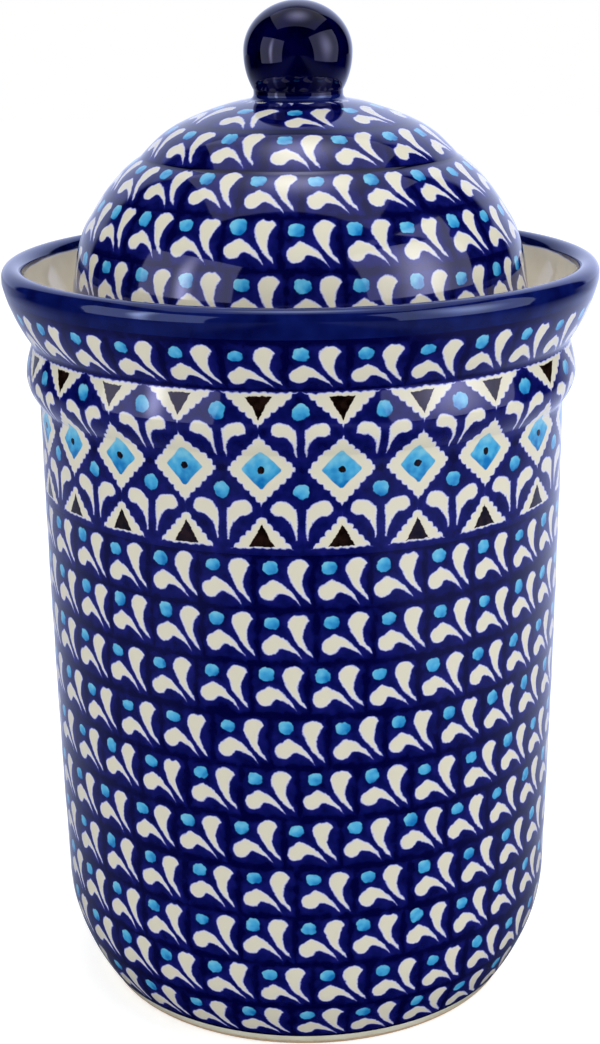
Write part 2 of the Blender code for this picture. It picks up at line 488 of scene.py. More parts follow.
# The petals of the diamond belt, across from the line between two diamonds.
MIDRIB, UPPER_HOLLOW, LOWER_HOLLOW = (61.1, -9.0, 60.0), (6.5, -10.5, -4.7), (9.6, -13.3, -8.0)
UPPER_PETAL = Cutout(
    (
        ((5.5, -4.6, 1.85),),
        ((4.4, -5.9, 3.0), MIDRIB, UPPER_HOLLOW),
        ((2.4, -8.5, 4.1), MIDRIB, UPPER_HOLLOW, (-12.8, -6.9, 15.15)),
    )
)
LOWER_PETAL = Cutout(
    (
        ((5.9, -4.6, 2.1),),
        ((4.8, -5.8, 3.2), MIDRIB, LOWER_HOLLOW),
        ((2.2, -8.9, 4.3), MIDRIB, LOWER_HOLLOW, (-12.3, -6.9, 15.25)),
    )
)


@dataclass(frozen=True)
class Pigments:
    """The colours of the fired decoration, seen through the glaze."""

    # Cobalt from where two stamps overlap or glaze pools to where it is brushed thin, more violet.
    cobalt: Stops = ((0.0, "020233"), (0.42, "090e4f"), (0.95, "171869"))
    crease: str = "010112"  # painted shade: near-black in a thin line along a crease of the dome
    rim: str = "2c3390"  # where it bleeds out beside the bare clay
    bleed: str = "a0a5ce"  # bluish edge of the clay
    edge: str = "cacad0"
    clay: str = "cdc9b8"
    sky: Stops = ((0.0, "6cb4d2"), (0.5, "3f9aca"), (1.0, "0f68aa"))  # light blue, from thin to thick
    umber: Stops = ((0.35, "070302"), (0.7, "20130f"))


@dataclass(frozen=True)
class Glaze:
    """Clear feldspar glaze, fired to about 1250 degrees: hard, wet-looking gloss with a slow unevenness."""

    name: str = "clear_glaze_on_stoneware"
    roughness: float = 0.05
    ior: float = 1.74
    sheen: str = "c6c6ff"  # what the glaze mirrors over cobalt, which lends it its blue
    pale_sheen: str = "e4e4f0"  # and over bare clay
    swell: float = 14.0  # mm from one slow swell of the glaze to the next
    relief: float = 0.012  # mm that it rises there
    patch: float = 30.0  # mm from one duller patch to the next
    pigments: Pigments = field(default_factory=Pigments)


class Paint(Nodes):
    """The nodes of a glazed finish, and what a painter of pots does with them.

    Attributes:
        glaze: The finish.
        material: Its material.
        spot: The place on the piece in millimetres.
        place: The place among the belt's stamps.
        up: Distance up from the belt's line.
        wide: The width of one stamp.
    """

    def __init__(self, glaze: Glaze) -> None:
        """Starts the finish's material.

        Args:
            glaze: The finish.
        """
        self.glaze, self.material = glaze, bpy.data.materials.new(glaze.name)
        super().__init__(self.material)
        self.spot = self.add("VectorMath.SCALE", (self.add("TexCoord", output="Object"), 1 / MM))
        stamp = self.add("Attribute.stamp", output="Vector")
        self.place, self.up, self.wide = self.add("SeparateXYZ", (stamp,)).node.outputs

    def shifted(self, value: Socket, size: float, amount: float) -> Socket:
        """Adds noise to a distance, so that an edge wanders as a sponge's or a brush's does.

        Args:
            value: The distance in millimetres.
            size: Millimetres from one wander to the next.
            amount: Millimetres that the edge wanders, from one side to the other.

        Returns:
            The new distance.
        """
        noise = self.add("TexNoise", (self.spot, 1 / size, 1.5))
        wander = self.add("MapRange", (noise, 0.25, 0.75, -amount / 2, amount / 2), clamp=False)
        return self.add("Math.ADD", (value, wander))

    def bent(self, point: Socket, size: float, amount: float, detail: float) -> Socket:
        """Moves a point by noise, as a soft sponge bends under the hand.

        Args:
            point: The point, across and up in millimetres.
            size: Millimetres from one bend to the next.
            amount: Millimetres that it moves, from one side to the other.
            detail: How many finer bends lie in each bend.

        Returns:
            The new point.
        """
        noise = self.add("TexNoise", (self.spot, 1 / size, detail), "Color")
        bend = self.add("VectorMath.SUBTRACT", (noise, (0.5, 0.5, 0.5)))
        bend = self.add("VectorMath.MULTIPLY", (bend, (amount, amount, 0.0)))
        return self.add("VectorMath.ADD", (point, bend))

    def ground(self, outside: Socket, border: Socket) -> Socket:
        """Colours the cobalt ground: dark where stamps overlap, violet where the sponge left it thin.

        Args:
            outside: Distance outside the nearest bare shape.
            border: Distance to the edge of the stamp.

        Returns:
            The colour.
        """
        cloud = self.add("TexNoise", (self.spot, 1 / 3.2, 2.5, 0.55))
        near = self.add("MapRange.SMOOTHSTEP", (outside, 1.8, 0.0, 0.0, 0.30))
        overlap = self.add("MapRange.SMOOTHSTEP", (border, 1.7, 0.1, 0.0, 0.42))
        tone = self.add("MapRange", (cloud, 0.30, 0.70, 0.10, 0.62), clamp=False)
        tone = self.add("Math.ADD", (tone, near))
        tone = self.add("Math.SUBTRACT", (tone, overlap), use_clamp=True)
        return self.add("ValToRGB", (tone,), stops=self.glaze.pigments.cobalt)

    def bare_shapes(self, ground: Socket, outside: Socket) -> Socket:
        """Lays the bare clay shapes into the ground, with the bluish edge that cobalt bleeds into.

        Args:
            ground: The colour of the ground.
            outside: Distance outside the shapes, negative within them.

        Returns:
            The colour.
        """
        tints = self.glaze.pigments
        codes = (tints.clay, tints.clay, tints.edge, tints.bleed, tints.rim)
        deep = self.add("MapRange", (outside, -1.3, 0.3, 0.0, 1.0))
        body = self.add("ValToRGB", (deep,), stops=tuple(zip((0.0, 0.42, 0.62, 0.74, 0.88), codes)))
        cover = self.add("MapRange.SMOOTHSTEP", (outside, 0.24, -0.02, 0.0, 1.0))
        return self.add("Mix.RGBA", (cover, ground, body))

    def dabbed(self, under: Socket, paint: Socket, outside: Socket, softness: float = 0.16) -> Socket:
        """Dabs a colour over another where a distance is negative, fading out over the softness each way."""
        cover = self.add("MapRange.SMOOTHSTEP", (outside, softness, -softness, 0.0, 1.0))
        return self.add("Mix.RGBA", (cover, under, paint))

    def sky(self, lean: Socket) -> Socket:
        """Colours a light blue dab, the thicker the more millimetres a point leans to its lower right."""
        thick = self.add("MapRange", (self.shifted(lean, 2.6, 3.2), -2.4, 2.4, 0.0, 1.0))
        return self.add("ValToRGB", (thick,), stops=self.glaze.pigments.sky)

    def cutout(self, point: Socket, shape: Cutout, lift: float = 0.0) -> Socket:
        """Measures how far a point lies outside a shape cut by arcs.

        The distance from a disc is the distance from its middle less its radius, turned round for what lies
        outside it. A part is as far as the furthest of its discs, and the shape as near as the nearest part.

        Args:
            point: The point, across and up in millimetres.
            shape: The shape.
            lift: How far the whole shape is moved up.

        Returns:
            The distance, negative inside.
        """
        distances = {}
        for disc in {disc: None for part in shape.parts for disc in part}:
            across, up, radius = disc
            gap = self.add("VectorMath.DISTANCE", (point, (across, up + lift, 0.0)))
            distances[disc] = self.add("Math.MULTIPLY_ADD", (gap, math.copysign(1.0, radius), -radius))
        parts = [self.fold("Math.MAXIMUM", [distances[disc] for disc in part]) for part in shape.parts]
        return reduce(lambda whole, part: self.add("Math.SMOOTH_MIN", (whole, part, shape.blend)), parts)

    def scalloped(self, edge: Socket, run: Socket, pitch: float, depth: float) -> Socket:
        """Swells an edge in round scallops: it moves out by the depth times the size of a sine.

        Args:
            edge: Distance outside the edge.
            run: How far the point lies along the edge.
            pitch: Millimetres from one scallop to the next.
            depth: How far the scallops stand out.

        Returns:
            The new distance.
        """
        turn = self.add("Math.MULTIPLY", (run, math.pi / pitch))
        swell = self.add("Math.ABSOLUTE", (self.add("Math.SINE", (turn,)),))
        return self.add("Math.MULTIPLY_ADD", (swell, -depth, edge))

    def wedge(self, side: Socket, up: Socket, shape: Triple, scallop: Point | None = None) -> Socket:
        """Measures how far a point lies outside a wedge that stands on its middle line.

        The slope's distance is side times the height less depth times the half width, over its length, where
        depth is how far the point lies from the apex to the base. Past the base it is the distance to it.

        Args:
            side: Distance from the middle line.
            up: Height above the belt's line.
            shape: Height of its point and of its base, and half the width of its base.
            scallop: Pitch and depth of the scallops of its slopes, which are half as deep at its base.

        Returns:
            The distance, negative inside.
        """
        apex, base, half_width = shape
        tall, way = abs(base - apex), math.copysign(1.0, base - apex)
        slope = math.hypot(tall, half_width)
        depth = self.add("Math.MULTIPLY_ADD", (up, way, -way * apex))
        lost = self.add("Math.MULTIPLY", (depth, half_width / slope))
        outside = self.add("Math.SUBTRACT", (self.add("Math.MULTIPLY", (side, tall / slope)), lost))
        past = self.add("Math.SUBTRACT", (depth, tall))
        if scallop:
            run = self.add("Math.MULTIPLY", (side, half_width / slope))
            run = self.add("Math.MULTIPLY_ADD", (depth, tall / slope, run))
            outside = self.scalloped(outside, run, *scallop)
            past = self.scalloped(past, side, scallop[0], scallop[1] / 2)
        return self.add("Math.MAXIMUM", (outside, past))

    def rhomb(self, side: Socket, level: Socket, shape: Point, scallop: Point | None = None) -> Socket:
        """Measures how far a point lies outside a diamond, as a wedge that reaches just past the middle."""
        wide, tall = shape
        return self.wedge(side, level, (tall, -1.0, wide * (tall + 1) / tall), scallop)

    def coat(self, colour: Socket, bare: Socket | None = None) -> Material:
        """Ends the material in the glaze over a colour.

        Args:
            colour: What lies under the glaze.
            bare: How bare of glaze the surface is, from 0 to 1, or None where it is glazed all over.

        Returns:
            The material.
        """
        glaze = self.glaze
        wave = self.add("TexNoise", (self.spot, 1 / glaze.swell, 1.0))
        bump = self.add("Bump", {"Height": wave, "Strength": 1.0, "Distance": glaze.relief * MM})
        patch = self.add("TexNoise", (self.spot, 1 / glaze.patch, 2.0))
        rough = self.add("MapRange", (patch, 0.3, 0.7, glaze.roughness * 0.8, glaze.roughness * 1.3))
        if bare:
            rough = self.add("Mix", (bare, rough, 0.62))
        pale = self.add("MapRange", (self.add("RGBToBW", (colour,)), 0.03, 0.3, 0.0, 1.0))
        tint = self.add("ValToRGB", (pale,), stops=((0.0, glaze.sheen), (1.0, glaze.pale_sheen)))
        looks = {"Base Color": colour, "Roughness": rough, "IOR": glaze.ior}
        looks |= {"Specular Tint": tint, "Normal": bump}
        self.add("OutputMaterial", {"Surface": self.add("BsdfPrincipled", looks)})
        return self.material


@dataclass(frozen=True)
class StampedGlaze(Glaze):
    """Rows of sponge stamps: a light blue dot and two bare leaves in each square of cobalt."""

    name: str = "sponge_stamped_stoneware"
    askew: Point = (0.7, 0.5)  # mm that a stamp may land off its place, across and up
    twist: float = 0.10  # radians that it may land turned
    middle: Point = (4.0, -4.0)  # what it turns round
    nick: Point = (7.4, 3.9)  # where the sponge is often torn, at the top of its upright leaf
    dot: Point = (0.1, -0.1)
    # The dots are smaller on the jar, below the first height, than on the lid, above the second.
    dot_heights: Point = (214.0, 216.0)
    dot_radii: Point = (2.08, 2.28)
    dot_sides: Point = (2.0, 2.1)  # half their width between the flat sides that the knife left
    creases: Sequence[float] = (247.8, 257.2)  # heights of the dome's creases, painted darker as shade

    def build(self) -> Material:
        """Paints the material.

        Returns:
            The material.
        """
        paint = Paint(self)
        add, up = paint.add, paint.up

        # Each stamp lands a little off its place and a little turned.
        counted = add("Math.ADD", (paint.place, CELL_SHARE))
        number = add("Math.FLOOR", (counted,))
        part = add("Math.SUBTRACT", (add("Math.FRACT", (counted,)), CELL_SHARE))
        across = add("Math.MULTIPLY", (part, paint.wide))
        chance = add("TexWhiteNoise.1D", (number,), "Color")
        luck = add("VectorMath.SUBTRACT", (chance, (0.5, 0.5, 0.5)))
        tilt = add("Math.MULTIPLY", (add("SeparateXYZ", (luck,), output=2), self.twist))
        off = add("VectorMath.MULTIPLY", (luck, (*self.askew, 0.0)))
        point = add("VectorMath.ADD", (add("CombineXYZ", (across, up)), off))
        point = add("VectorRotate.Z_AXIS", (point, (*self.middle, 0.0), tilt))
        point = paint.bent(point, 3.0, 0.6, 0.0)

        # The leaves, with the nick.
        nick = add("VectorMath.DISTANCE", (point, (*self.nick, 0.0)))
        cut = add("MapRange", (add("TexWhiteNoise.1D", (number,)), 0.1, 1.0, 0.2, 2.1))
        cut = add("Math.SUBTRACT", (cut, nick))
        upright = add("Math.SMOOTH_MAX", (paint.cutout(point, UPRIGHT_LEAF), cut, 0.25))
        leaves = add("Math.MINIMUM", (upright, paint.cutout(point, LYING_LEAF)))
        leaves = paint.shifted(leaves, 0.8, 0.26)

        # The square of cobalt round them, which overlaps its neighbours.
        right = add("Math.MULTIPLY", (add("Math.SUBTRACT", (part, 1 - CELL_SHARE)), paint.wide))
        borders = (
            add("Math.ADD", (across, CELL_SHARE * CELL_WIDTH)),
            add("Math.ABSOLUTE", (right,)),
            add("Math.SUBTRACT", (ROW_TOP, up)),
            add("Math.ADD", (up, ROW_STEP - ROW_TOP)),
        )
        ground = paint.ground(leaves, paint.shifted(paint.fold("Math.MINIMUM", borders), 3.0, 1.2))
        height = add("SeparateXYZ", (paint.spot,), output=2)
        # Painted shade: a thin near-black line along each crease of the dome, where shade falls.
        for crease in self.creases:
            reach = add("Math.ABSOLUTE", (add("Math.SUBTRACT", (height, crease)),))
            crease_shade = add("MapRange.SMOOTHSTEP", (reach, 0.7, 0.1, 0.0, 0.85))
            ground = add("Mix.RGBA", (crease_shade, ground, linear(self.pigments.crease)))
        colour = paint.bare_shapes(ground, leaves)

        # The dot: a disc, flatter or less flat, cut straight at its sides.
        off_dot = add("VectorMath.SUBTRACT", (point, (*self.dot, 0.0)))
        flat = add("MapRange", (add("SeparateXYZ", (chance,), output=1), 0.0, 1.0, 0.98, 1.28))
        squash = add("VectorMath.MULTIPLY", (off_dot, add("CombineXYZ", (1.0, flat, 0.0))))
        sides = add("SeparateXYZ", (add("VectorMath.ABSOLUTE", (squash,)),)).node.outputs
        gaps = (add("VectorMath.LENGTH", (squash,)), add("Math.MAXIMUM", (sides[0], sides[1])))
        round_, square = (
            add("Math.SUBTRACT", (gap, add("MapRange", (height, *self.dot_heights, *sizes))))
            for gap, sizes in zip(gaps, (self.dot_radii, self.dot_sides))
        )
        dot = paint.shifted(add("Math.SMOOTH_MAX", (round_, square, 0.25)), 1.3, 0.5)
        lean = add("VectorMath.DOT_PRODUCT", (off_dot, (0.6, -0.8, 0.0)))
        return paint.coat(paint.dabbed(colour, paint.sky(lean), dot))


@dataclass(frozen=True)
class DiamondGlaze(Glaze):
    """The belt of diamonds: scalloped bare diamonds and wedges, petals, dabs of light blue and umber.

    A wedge is the height of its point and of its base, and half the width of its base. All heights are above
    the line of the diamonds' middles.
    """

    name: str = "diamond_belt_stoneware"
    scallop: Point = (2.3, 0.55)  # from one to the next, and how far they stand out
    diamond: Point = (8.8, 8.9)  # half width and half height
    pane: Point = (5.3, 5.45)  # the light blue in it
    pupil: float = 0.95  # radius of the dab in the pane
    wedges: Sequence[Triple] = ((12.7, 20.5, 8.8), (-12.6, -21.0, 7.3))
    thorn: Triple = (11.9, 13.5, 0.6)  # draws out the point of the upper wedge
    marks: Sequence[Triple] = ((13.9, 19.7, 3.35), (-14.7, -20.7, 3.4))  # the umber in the wedges
    dots: Sequence[Point] = ((15.95, 2.15), (-5.7, 2.05))  # height and radius of the dots over the petals

    def build(self) -> Material:
        """Paints the material.

        Returns:
            The material.
        """
        paint = Paint(self)
        add = paint.add
        part = add("Math.FRACT", (add("Math.ADD", (paint.place, 0.5)),))
        across = add("Math.MULTIPLY", (add("Math.SUBTRACT", (part, 0.5)), paint.wide))
        point = paint.bent(add("CombineXYZ", (across, paint.up)), 4.5, 0.9, 1.0)
        across, up, _ = add("SeparateXYZ", (point,)).node.outputs
        side, level = add("Math.ABSOLUTE", (across,)), add("Math.ABSOLUTE", (up,))
        midway = add("Math.SUBTRACT", (add("Math.MULTIPLY", (paint.wide, 0.5)), side))
        between = add("CombineXYZ", (midway, up))

        # The bare shapes: a diamond with blunt sides and drawn-out points, wedges and petals.
        wide, tall = self.diamond
        blunt = add("Math.SUBTRACT", (side, wide))
        shapes = [
            add("Math.SMOOTH_MAX", (paint.rhomb(side, level, self.diamond, self.scallop), blunt, 0.6)),
            paint.wedge(side, level, (tall + 0.9, tall - 1.0, 0.8)),
            paint.wedge(side, up, self.thorn),
            *(paint.wedge(side, up, wedge, self.scallop) for wedge in self.wedges),
        ]
        for petal, (height, _) in zip((UPPER_PETAL, LOWER_PETAL), self.dots):
            shapes.append(paint.cutout(between, petal, height))
        bare = paint.shifted(paint.fold("Math.MINIMUM", shapes), 0.8, 0.24)
        colour = paint.bare_shapes(paint.ground(bare, level), bare)

        # The light blue dots and panes.
        for height, radius in self.dots:
            off_dot = add("VectorMath.SUBTRACT", (between, (0.0, height, 0.0)))
            dot = add("Math.SUBTRACT", (add("VectorMath.LENGTH", (off_dot,)), radius))
            lean = add("VectorMath.DOT_PRODUCT", (off_dot, (0.0, -0.9, 0.0)))
            colour = paint.dabbed(colour, paint.sky(lean), paint.shifted(dot, 1.5, 0.6))
        gap = add("VectorMath.LENGTH", (add("CombineXYZ", (side, up)),))
        round_ = add("Math.SUBTRACT", (gap, self.pane[0] - 0.2))
        pane = add("Math.SMOOTH_MAX", (paint.rhomb(side, level, self.pane), round_, 0.15))
        sky = paint.sky(add("Math.MULTIPLY", (up, -0.55)))
        colour = paint.dabbed(colour, sky, paint.shifted(pane, 2.4, 0.2))

        # The dabs of umber.
        grain = add("TexNoise", (paint.spot, 1 / 2.2, 2.0))
        umber = add("ValToRGB", (grain,), stops=self.pigments.umber)
        marks = [paint.wedge(side, up, mark) for mark in self.marks]
        for mark in (add("Math.SUBTRACT", (gap, self.pupil)), *marks):
            colour = paint.dabbed(colour, umber, paint.shifted(mark, 0.9, 0.35), 0.12)
        return paint.coat(colour)


@dataclass(frozen=True)
class CobaltGlaze(Glaze):
    """Solid brushed cobalt, which ends in a wandering edge where the belt's line is."""

    name: str = "brushed_cobalt_stoneware"
    thick: str = "04083a"  # where the brush laid it on thick
    even: str = "0a1656"

    def build(self) -> Material:
        """Paints the material.

        Returns:
            The material.
        """
        paint = Paint(self)
        cloud = paint.add("TexNoise", (paint.spot, 1 / 7.0, 2.0))
        ground = paint.add("ValToRGB", (cloud,), stops=((0.3, self.thick), (0.7, self.even)))
        outside = paint.add("Math.MULTIPLY", (paint.shifted(paint.up, 16.0, 0.7), -1.0))
        return paint.coat(paint.bare_shapes(ground, outside))


@dataclass(frozen=True)
class ClearGlaze(Glaze):
    """Clear glaze over the bare pale body, which thins to nothing where the belt's line is."""

    name: str = "clear_glazed_stoneware"
    warm: str = "f2ead6"  # where it is thick
    pale: str = "f8f2e2"  # where it is thin
    clay: Stops = ((0.35, "b9a88c"), (0.65, "cdbfa4"))  # gritty, where the glaze has run out

    def build(self) -> Material:
        """Paints the material.

        Returns:
            The material.
        """
        paint = Paint(self)
        bare = paint.add("MapRange.SMOOTHSTEP", (paint.shifted(paint.up, 7.0, 0.8), 0.25, -0.25, 0.0, 1.0))
        cloud = paint.add("TexNoise", (paint.spot, 1 / 9.0, 3.0))
        glazed = paint.add("ValToRGB", (cloud,), stops=((0.3, self.warm), (0.7, self.pale)))
        grit = paint.add("TexNoise", (paint.spot, 1 / 0.7, 2.0))
        clay = paint.add("ValToRGB", (grit,), stops=self.clay)
        return paint.coat(paint.add("Mix.RGBA", (bare, glazed, clay)), bare)


@dataclass(frozen=True)
class BareStoneware:
    """Unglazed fired clay, wiped clean of glaze before firing: dry, warm grey-tan, with fine grit."""

    name: str = "bare_stoneware"
    grit: float = 0.7  # mm from one grain to the next
    relief: float = 0.05  # mm that a grain stands up
    patch: float = 12.0  # mm from one patch to the next

    def build(self) -> Material:
        """Makes the material.

        Returns:
            The material.
        """
        material = bpy.data.materials.new(self.name)
        add = Nodes(material).add
        place = add("TexCoord", output="Object")
        grain = add("TexNoise", (place, 1 / (self.grit * MM), 3.0))
        patch = add("TexNoise", (place, 1 / (self.patch * MM), 2.0))
        fine = add("ValToRGB", (grain,), stops=((0.3, "a58a6b"), (0.7, "c4a988")))
        broad = add("ValToRGB", (patch,), stops=((0.3, "b3977a"), (0.7, "cab497")))
        colour = add("Mix.RGBA", (0.5, fine, broad))
        bump = add("Bump", {"Height": grain, "Strength": 0.6, "Distance": self.relief * MM})
        rough = add("MapRange", (grain, 0.3, 0.7, 0.6, 0.8))
        shader = add("BsdfPrincipled", {"Base Color": colour, "Roughness": rough, "Normal": bump})
        add("OutputMaterial", {"Surface": shader})
        return material


# The three pieces


@dataclass(frozen=True)
class Jar:
    """The jar: foot ring, tucked base, leaning wall, ring band, flared lip and the gallery in the mouth."""

    height: float = 219.0
    body_radius: float = 76.2
    draft: float = 2.1
    wall: float = 6.0
    floor: float = 7.0
    base_height: float = 33.0
    base_tuck: float = 11.2
    foot_width: float = 6.0
    foot_recess: float = 2.0
    foot_round: float = 0.8
    fillet_width: float = 19.0
    fillet_height: float = 28.0
    belly: float = 0.5  # how far the middle of the wall stands out
    band_height: float = 17.6
    band_crest: float = 9.55  # below the crease
    band_relief: float = 3.4
    crease_relief: float = 1.5
    flare_height: float = 22.0
    flare_reach: float = 7.6
    lip_thickness: float = 6.2
    lip_face: float = 4.7
    ledge_drop: float = 23.0
    ledge_width: float = 11.5
    ledge_thickness: float = 8.0
    ledge_round: float = 1.2
    gallery_wall: float = 5.7
    gallery_fillet: float = 1.5
    undercut_height: float = 13.0

    bare_foot: float = 1.0  # height that the foot is wiped clean to
    glaze_foot: float = 1.5  # where the glaze starts
    pale_foot: float = 3.9  # where the pale strip of the foot ends
    dark_foot: float = 4.7  # and the dark line over it
    top_row: float = 149.5  # height of the uppermost dots of the wall
    rim_row: float = 207.3  # height of the dots under the lip
    diamond_line: float = 175.9  # height of the diamonds' middles
    lip_blue_foot: float = 211.4  # where the solid cobalt of the lip begins outside
    mouth_blue_foot: float = 216.9  # and where it ends inside
    mouth_reach: float = 1.7  # how far past that its wandering edge may run
    throat_glaze: float = 1.2  # how far past the bare ledge the glaze inside starts
    diamonds: tuple[int, float, float] = (23, -8.0, 12.5)  # how many, degrees from the front to one, and drift
    rim_stamps: int = 32
    # Each row of the wall from the top: how many stamps, degrees from the front to a dot, and the row's lean.
    rows: Sequence[tuple[int, float, float]] = (
        (31, -6.8, 0.2),
        (31, -6.2, 0.9),
        (31, -7.9, 1.0),
        (30, -4.2, 0.7),
        (30, 1.6, 0.7),
        (30, -1.7, 0.2),
        (29, 1.0, 0.3),
        (30, 0.4, 0.5),
        (29, 4.3, 1.1),
        (27, -0.4, 0.5),
    )
    ripple: Ripple = Ripple(0.16, 6.0, 206.0)
    segments: int = 320
    spacing: float = 1.9

    @property
    def crease_radius(self) -> float:
        """Radius of the crease between band and lip."""
        return self.body_radius + self.crease_relief

    @property
    def throat_radius(self) -> float:
        """Radius of the throat inside the ledge."""
        return self.crease_radius - self.gallery_wall - self.ledge_width

    @property
    def ledge_level(self) -> float:
        """Height of the ledge that carries the lid."""
        return self.height - self.ledge_drop

    def underside(self) -> np.ndarray:
        """Gives the recess under the foot, from the axis to the ring that stands on the table."""
        ring = self.body_radius - self.draft - self.base_tuck - self.foot_width
        middle = line((0, self.foot_recess), (ring - self.foot_recess, self.foot_recess), 8)
        return joined(middle, line(middle[-1], (ring, 0), 1))

    def outside(self) -> np.ndarray:
        """Draws the outside: foot, tucked base, wall, ring band and flare.

        Returns:
            Its points from the foot ring up to the lip's bead.
        """
        gap, bend = self.spacing, self.foot_round
        shoulder = self.height - self.flare_height
        wall_foot = (self.body_radius - self.draft, self.base_height)
        foot = (wall_foot[0] - self.base_tuck, bend)
        band_foot = (self.body_radius, shoulder - self.band_height)
        crest = (self.body_radius + self.band_relief, shoulder - self.band_crest)
        crease = (self.crease_radius, shoulder)
        lip = (crease[0] + self.flare_reach, self.height - self.lip_face)
        out = self.belly * 4 / 3 / self.draft
        return joined(
            arc((foot[0] - bend, bend), bend, bend, -90, 0, 0.3),
            curve(wall_foot, foot, ((0.0, 0.38), (0.40, 0.70)), gap)[::-1],
            curve(wall_foot, band_foot, ((1 / 3 + out, 1 / 3), (2 / 3 + out, 2 / 3)), gap),
            curve(band_foot, crest, ((0.12, 0.12), (0.95, 0.45)), gap / 2),
            curve(crest, crease, ((0.0, 0.35), (0.70, 0.75)), gap / 2),
            curve(lip, crease, ((0.13, 0.30), (0.55, 0.72)), gap)[::-1],
        )

    def lip(self) -> np.ndarray:
        """Gives the lip's bead, from its outer face over to the mouth."""
        bead = self.lip_thickness / 2
        centre = (self.crease_radius + self.flare_reach - bead, self.height - bead)
        return arc(centre, bead, bead, 0, 180, 0.6)

    def inside(self) -> np.ndarray:
        """Draws the inside: mouth, gallery, throat, wall and floor.

        Returns:
            Its points from the lip's bead down to the axis.
        """
        fillet, bend, ledge = self.gallery_fillet, self.ledge_round, self.ledge_level
        mouth_radius = self.crease_radius - self.gallery_wall
        root = arc((mouth_radius - fillet, ledge + fillet), fillet, fillet, 0, -90, 0.5)
        edge = arc((self.throat_radius + bend, ledge - bend), bend, bend, 90, 180, 0.4)
        throat_foot = (self.throat_radius, ledge - self.ledge_thickness)
        undercut = (self.body_radius - self.wall, throat_foot[1] - self.undercut_height)
        floor_level = self.foot_recess + self.floor
        wall_foot = (self.body_radius - self.draft - self.wall, floor_level + self.fillet_height)
        floor_edge = (wall_foot[0] - self.fillet_width, floor_level)
        return joined(
            curve(root[0], self.lip()[-1], ((0.28, 0.38), (0.86, 0.62)), 3)[::-1],
            root,
            edge,
            line(edge[-1], throat_foot, 3),
            curve(undercut, throat_foot, ((0.0, 0.45), (0.55, 0.90)), 3)[::-1],
            line(undercut, wall_foot, 5),
            curve(floor_edge, wall_foot, ((0.62, 0.0), (1.0, 0.40)), 3)[::-1],
            line(floor_edge, (0, floor_level), 6),
        )

    def turning(self) -> Turning:
        """Works out the jar's outline and its belts.

        Returns:
            The turned surface.
        """
        under, outside, lip, inside = self.underside(), self.outside(), self.lip(), self.inside()
        up = length_along(under)[-1] + math.dist(under[-1], outside[0]) + length_along(outside)
        lip_end = up[-1] + math.dist(outside[-1], lip[0]) + length_along(lip)[-1]
        down = lip_end + math.dist(lip[-1], inside[0]) + length_along(inside)

        def at(height: float) -> float:
            """Gives the distance along the outline of a height on the outside."""
            return float(np.interp(height, outside[:, 1], up))

        ledge = down[np.searchsorted(-inside[:, 1], -(self.ledge_level + self.gallery_fillet))]
        off_throat = inside - (self.throat_radius, self.ledge_level - 3)
        throat = down[np.argmin(np.linalg.norm(off_throat, axis=1))]
        mouth = float(np.interp(-self.mouth_blue_foot, -inside[:20, 1], down[:20]))
        belts = [
            Belt(at(self.bare_foot), Finish.BARE),
            Belt(at(self.pale_foot), Finish.FOOT, at(self.glaze_foot)),
            Belt(at(self.dark_foot), Finish.DIPPED, FAR),
        ]
        for number, (count, turn, lean) in reversed(list(enumerate(self.rows))):
            dot = at(self.top_row) - ROW_STEP * number
            belts.append(Belt(dot + ROW_TOP, Finish.STAMPED, dot, count, turn, lean=lean))
        crease = at(self.height - self.flare_height)
        count, turn, drift = self.diamonds
        belts += [
            Belt(crease, Finish.DIAMONDS, self.diamond_line, count, turn, True, drift=drift),
            Belt(at(self.lip_blue_foot), Finish.STAMPED, at(self.rim_row), self.rim_stamps),
            Belt(mouth + self.mouth_reach, Finish.COBALT, mouth),
            Belt(ledge, Finish.CLEAR, -FAR),
            Belt(throat, Finish.BARE),
            Belt(down[-1] + 1, Finish.CLEAR, throat + self.throat_glaze),
        ]
        outline = joined(under, outside, lip, inside)
        return Turning("jar_body", outline, belts, self.segments, (up[0], up[-1]), self.ripple)


